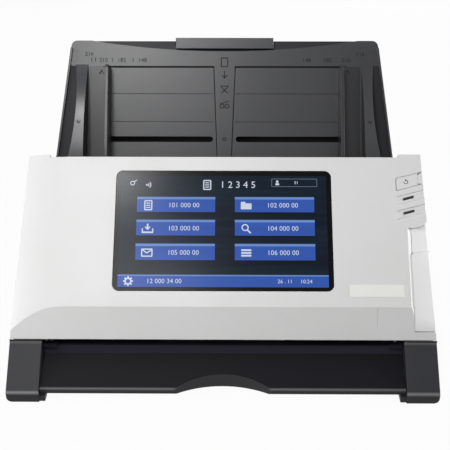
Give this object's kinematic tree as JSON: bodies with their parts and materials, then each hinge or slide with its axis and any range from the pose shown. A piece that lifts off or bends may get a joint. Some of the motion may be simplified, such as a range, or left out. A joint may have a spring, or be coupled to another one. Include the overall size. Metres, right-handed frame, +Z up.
{
  "type": "document scanner",
  "caption": "Desktop sheet-fed scanner: black base with front arms, white hinged cover with a large touch display, and a leaning black input tray with paper guides.",
  "frame": {"origin": "on the table under the middle of the machine, at the bottom of the rubber feet", "axes": "+X to the machine's right as seen from the front, +Y to the back, +Z up"},
  "size_m": [0.31, 0.229, 0.1949],
  "materials": {
    "white_shell": "fine satin",
    "light_plastic": "satin",
    "black_base": "fine texture",
    "black_tray": "fine texture",
    "black_guide": "smooth",
    "foot_rubber": "matte",
    "roller_rubber": "ground",
    "plate_steel": "plated sheet",
    "shaft_steel": "ground",
    "gear_plastic": "moulded",
    "pinion_brass": "cut",
    "pinch_plastic": "moulded",
    "scan_glass": "polished",
    "display_black": "polished black glass",
    "display_module": "plain",
    "board_green": "solder mask",
    "socket_metal": "plain",
    "lamp_lens": "smoked"
  },
  "bodies": {
    "base": {"base_pan": "black_base", "exit_ramp": "black_base", "rubber_feet": "foot_rubber", "left_side_plate": "plate_steel", "right_side_plate": "plate_steel", "lower_guide": "black_guide", "low_scan_unit": "black_guide", "low_scan_glass": "scan_glass", "shaft_bushes": "gear_plastic", "gear_studs": "shaft_steel", "drive_motor": "plate_steel", "main_board": "board_green", "rear_sockets": "socket_metal", "rear_housing": "white_shell", "left_side_cover": "white_shell", "right_side_cover": "white_shell", "input_tray": "black_tray", "tray_back": "black_tray", "base_screws": "shaft_steel"},
    "cover": {"front_cover": "white_shell", "cover_guide": "black_guide", "hinge_pins": "shaft_steel", "display_glass": "display_black", "display_panel": "display_module", "display_bracket": "plate_steel", "display_board": "board_green", "lamp_lenses": "lamp_lens", "button_board": "board_green", "top_scan_unit": "black_guide", "top_scan_glass": "scan_glass", "pad_holder": "light_plastic", "separation_pad": "roller_rubber", "pinch_springs": "plate_steel", "lever_pin": "shaft_steel"},
    "drive_roller": {"drive_shaft": "shaft_steel", "drive_tyres": "roller_rubber", "drive_gear": "gear_plastic"},
    "feed_roller": {"feed_shaft": "shaft_steel", "feed_tyres": "roller_rubber", "feed_gear": "gear_plastic"},
    "exit_roller": {"exit_shaft": "shaft_steel", "exit_tyres": "roller_rubber", "exit_gear": "gear_plastic"},
    "big_wheel": {"big_idler": "gear_plastic"},
    "small_wheel": {"small_idler": "gear_plastic"},
    "motor_rotor": {"motor_pinion": "pinion_brass"},
    "drive_pinch_roller": {"drive_pinch": "pinch_plastic"},
    "exit_pinch_roller": {"exit_pinch": "pinch_plastic"},
    "lever": {"release_lever": "light_plastic"},
    "latch": {"latch_hook": "shaft_steel"},
    "button": {"power_button": "light_plastic"},
    "left_fence": {"left_guide": "black_tray"},
    "right_fence": {"right_guide": "black_tray"},
    "fence_wheel": {"guide_pinion": "black_guide"},
    "extension": {"tray_extension": "black_tray"},
    "flag": {"paper_flag": "black_guide"}
  },
  "joints": [
    {"name": "cover_hinge", "type": "hinge", "parent": "base", "child": "cover", "pos_m": [0, -0.07249, 0.042], "axis": [1, 0, 0], "range_deg": [0, 46]},
    {"name": "drive_spin", "type": "hinge", "parent": "base", "child": "drive_roller", "pos_m": [0, 0.0002, 0.04881], "axis": [1, 0, 0], "continuous": true},
    {"name": "feed_spin", "type": "hinge", "parent": "base", "child": "feed_roller", "pos_m": [0, 0.03851, 0.07397], "axis": [1, 0, 0], "continuous": true},
    {"name": "exit_spin", "type": "hinge", "parent": "base", "child": "exit_roller", "pos_m": [0, -0.06536, 0.02504], "axis": [1, 0, 0], "continuous": true},
    {"name": "big_idler_spin", "type": "hinge", "parent": "base", "child": "big_wheel", "pos_m": [0, -0.03533, 0.04302], "axis": [1, 0, 0], "continuous": true},
    {"name": "small_idler_spin", "type": "hinge", "parent": "base", "child": "small_wheel", "pos_m": [0, 0.01972, 0.05321], "axis": [1, 0, 0], "continuous": true},
    {"name": "motor_spin", "type": "hinge", "parent": "base", "child": "motor_rotor", "pos_m": [0, -0.0089, 0.02084], "axis": [1, 0, 0], "continuous": true},
    {"name": "drive_pinch_spin", "type": "hinge", "parent": "cover", "child": "drive_pinch_roller", "pos_m": [0, -0.00631, 0.05924], "axis": [1, 0, 0], "continuous": true},
    {"name": "exit_pinch_spin", "type": "hinge", "parent": "cover", "child": "exit_pinch_roller", "pos_m": [0, -0.06728, 0.03598], "axis": [1, 0, 0], "continuous": true},
    {"name": "lever_pull", "type": "hinge", "parent": "cover", "child": "lever", "pos_m": [0, -0.0757, 0.04494], "axis": [1, 0, 0], "range_deg": [0, 5.5], "stiffness_Nm_per_rad": 0.4, "springref_deg": -2.86},
    {"name": "latch_swing", "type": "hinge", "parent": "cover", "child": "latch", "pos_m": [0.133, -0.00869, 0.09749], "axis": [0, -0.7478, -0.6639], "range_deg": [0, 11]},
    {"name": "power_press", "type": "slide", "parent": "cover", "child": "button", "axis": [0, 0.6639, -0.7478], "range_m": [0, 0.0012], "stiffness_N_per_m": 900, "springref_m": -0.0006},
    {"name": "left_guide_slide", "type": "slide", "parent": "base", "child": "left_fence", "axis": [1, 0, 0], "range_m": [-0.001, 0.06]},
    {"name": "right_guide_slide", "type": "slide", "parent": "base", "child": "right_fence", "axis": [-1, 0, 0], "range_m": [-0.001, 0.06]},
    {"name": "guide_pinion_spin", "type": "hinge", "parent": "base", "child": "fence_wheel", "pos_m": [0, 0.0607, 0.1241], "axis": [0, -0.848, 0.5299], "range_deg": [-350, 20]},
    {"name": "extension_pull", "type": "slide", "parent": "base", "child": "extension", "axis": [0, 0.5299, 0.848], "range_m": [0, 0.06]},
    {"name": "flag_tip", "type": "hinge", "parent": "base", "child": "flag", "pos_m": [0.035, 0.04527, 0.08953], "axis": [1, 0, 0], "range_deg": [0, 60], "stiffness_Nm_per_rad": 0.002, "springref_deg": -11.46}
  ],
  "couplings": [
    {"joint": "feed_spin", "follows": "drive_spin", "ratio": 0.55556},
    {"joint": "exit_spin", "follows": "drive_spin", "ratio": 1.1111},
    {"joint": "big_idler_spin", "follows": "drive_spin", "ratio": -0.38462},
    {"joint": "small_idler_spin", "follows": "drive_spin", "ratio": -1},
    {"joint": "motor_spin", "follows": "drive_spin", "ratio": 1.1765},
    {"joint": "drive_pinch_spin", "follows": "drive_spin", "ratio": -1.4},
    {"joint": "exit_pinch_spin", "follows": "drive_spin", "ratio": -1.6796},
    {"joint": "right_guide_slide", "follows": "left_guide_slide", "ratio": 1},
    {"joint": "guide_pinion_spin", "follows": "left_guide_slide", "rad_per_m": -100},
    {"joint": "latch_swing", "follows": "lever_pull", "ratio": 2}
  ]
}
